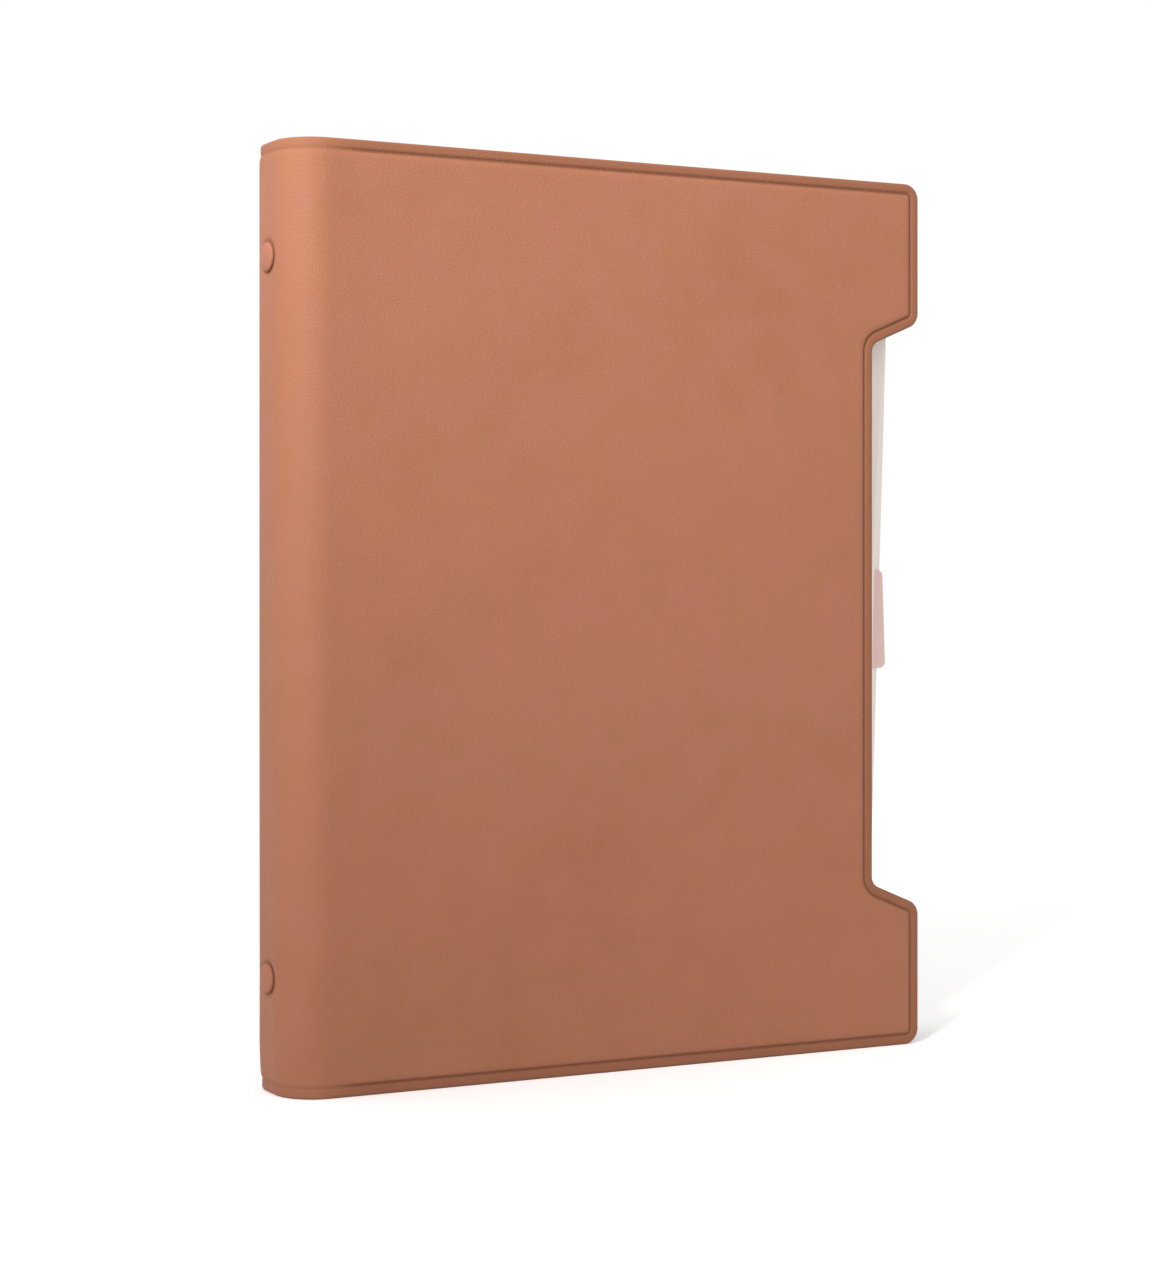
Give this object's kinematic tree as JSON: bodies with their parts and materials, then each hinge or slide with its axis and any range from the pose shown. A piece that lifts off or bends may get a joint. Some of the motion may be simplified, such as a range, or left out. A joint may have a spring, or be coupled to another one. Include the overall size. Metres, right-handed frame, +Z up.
{
  "type": "scrapbook album",
  "caption": "Ring-bound scrapbook album with a soft rounded spine, tan faux-leather covers with a pressed edge line, a finger notch in the fore edge, leaves and tabbed dividers.",
  "frame": {"origin": "centre of the closed album's footprint, on the surface that it stands on", "axes": "+Z up along the spine, +X from the spine to the fore edge, -Y out of the front cover"},
  "size_m": [0.186, 0.0286, 0.235],
  "materials": {
    "cover_leather": "matt fine-grained tan faux leather",
    "cover_lining": "smooth matt tan lining",
    "cover_board": "grey board",
    "spine_core": "flexible sheet",
    "rivet_paint": "painted tan to match the cover",
    "ring_chrome": "nickel plated",
    "blade_steel": "plain spring steel",
    "leaf_paper": "uncoated cream paper",
    "divider_card": "pale blush card",
    "tab_leather": "matt dusty pink"
  },
  "bodies": {
    "spine": {"spine_skin": "cover_leather", "spine_core": "spine_core", "spine_lining": "cover_lining", "rivets": "rivet_paint", "backing_plate": "blade_steel", "ring_housing": "ring_chrome"},
    "front_cover": {"front_skin": "cover_leather", "front_board": "cover_board", "front_lining": "cover_lining"},
    "back_cover": {"back_skin": "cover_leather", "back_board": "cover_board", "back_lining": "cover_lining"},
    "front_rings": {"front_blade": "blade_steel", "front_ring_1": "ring_chrome", "front_ring_2": "ring_chrome", "front_ring_3": "ring_chrome", "front_ring_4": "ring_chrome", "front_ring_5": "ring_chrome", "front_ring_6": "ring_chrome"},
    "back_rings": {"back_blade": "blade_steel", "back_ring_1": "ring_chrome", "back_ring_2": "ring_chrome", "back_ring_3": "ring_chrome", "back_ring_4": "ring_chrome", "back_ring_5": "ring_chrome", "back_ring_6": "ring_chrome"},
    "lower_lever": {"bottom_lever": "ring_chrome"},
    "upper_lever": {"top_lever": "ring_chrome"},
    "front_divider_sheet": {"front_divider": "divider_card", "divider_tab": "tab_leather"},
    "back_divider_sheet": {"back_divider": "divider_card"},
    "front_outer_block": {"front_outer_leaves": "leaf_paper"},
    "front_inner_block": {"front_inner_leaves": "leaf_paper"},
    "back_outer_block": {"back_outer_leaves": "leaf_paper"},
    "back_inner_block": {"back_inner_leaves": "leaf_paper"}
  },
  "joints": [
    {"name": "front_cover_open", "type": "hinge", "parent": "spine", "child": "front_cover", "pos_m": [-0.08, -0.01425, 0], "axis": [0, 0, -1], "range_deg": [0, 170]},
    {"name": "back_cover_open", "type": "hinge", "parent": "spine", "child": "back_cover", "pos_m": [-0.08, 0.01425, 0], "axis": [0, 0, 1], "range_deg": [0, 170]},
    {"name": "rings_open", "type": "hinge", "parent": "spine", "child": "front_rings", "pos_m": [-0.0862, -0.0051, 0], "axis": [0, 0, -1], "range_deg": [0, 13]},
    {"name": "back_rings_open", "type": "hinge", "parent": "spine", "child": "back_rings", "pos_m": [-0.0862, 0.0051, 0], "axis": [0, 0, 1], "range_deg": [0, 13]},
    {"name": "lower_lever_push", "type": "hinge", "parent": "spine", "child": "lower_lever", "pos_m": [-0.0862, 0, 0.0125], "axis": [0, 1, 0], "range_deg": [0, 26]},
    {"name": "upper_lever_push", "type": "hinge", "parent": "spine", "child": "upper_lever", "pos_m": [-0.0862, 0, 0.2225], "axis": [0, -1, 0], "range_deg": [0, 26]},
    {"name": "front_divider_sheet_turn", "type": "hinge", "parent": "spine", "child": "front_divider_sheet", "pos_m": [-0.0774, -0.0024, 0], "axis": [0, 0, -1], "range_deg": [0, 78.7]},
    {"name": "front_outer_block_turn", "type": "hinge", "parent": "spine", "child": "front_outer_block", "pos_m": [-0.0774, -0.0024, 0], "axis": [0, 0, -1], "range_deg": [0, 70.2]},
    {"name": "front_inner_block_turn", "type": "hinge", "parent": "spine", "child": "front_inner_block", "pos_m": [-0.0774, -0.0024, 0], "axis": [0, 0, -1], "range_deg": [0, 60]},
    {"name": "back_divider_sheet_turn", "type": "hinge", "parent": "spine", "child": "back_divider_sheet", "pos_m": [-0.0774, 0.0024, 0], "axis": [0, 0, 1], "range_deg": [0, 78.7]},
    {"name": "back_outer_block_turn", "type": "hinge", "parent": "spine", "child": "back_outer_block", "pos_m": [-0.0774, 0.0024, 0], "axis": [0, 0, 1], "range_deg": [0, 70.2]},
    {"name": "back_inner_block_turn", "type": "hinge", "parent": "spine", "child": "back_inner_block", "pos_m": [-0.0774, 0.0024, 0], "axis": [0, 0, 1], "range_deg": [0, 60]}
  ],
  "couplings": [
    {"joint": "back_rings_open", "follows": "rings_open", "ratio": 1},
    {"joint": "lower_lever_push", "follows": "rings_open", "ratio": 2},
    {"joint": "upper_lever_push", "follows": "rings_open", "ratio": 2},
    {"joint": "front_divider_sheet_turn", "follows": "front_cover_open", "ratio": 0.46},
    {"joint": "front_outer_block_turn", "follows": "front_cover_open", "ratio": 0.41},
    {"joint": "front_inner_block_turn", "follows": "front_cover_open", "ratio": 0.35},
    {"joint": "back_divider_sheet_turn", "follows": "back_cover_open", "ratio": 0.46},
    {"joint": "back_outer_block_turn", "follows": "back_cover_open", "ratio": 0.41},
    {"joint": "back_inner_block_turn", "follows": "back_cover_open", "ratio": 0.35}
  ]
}
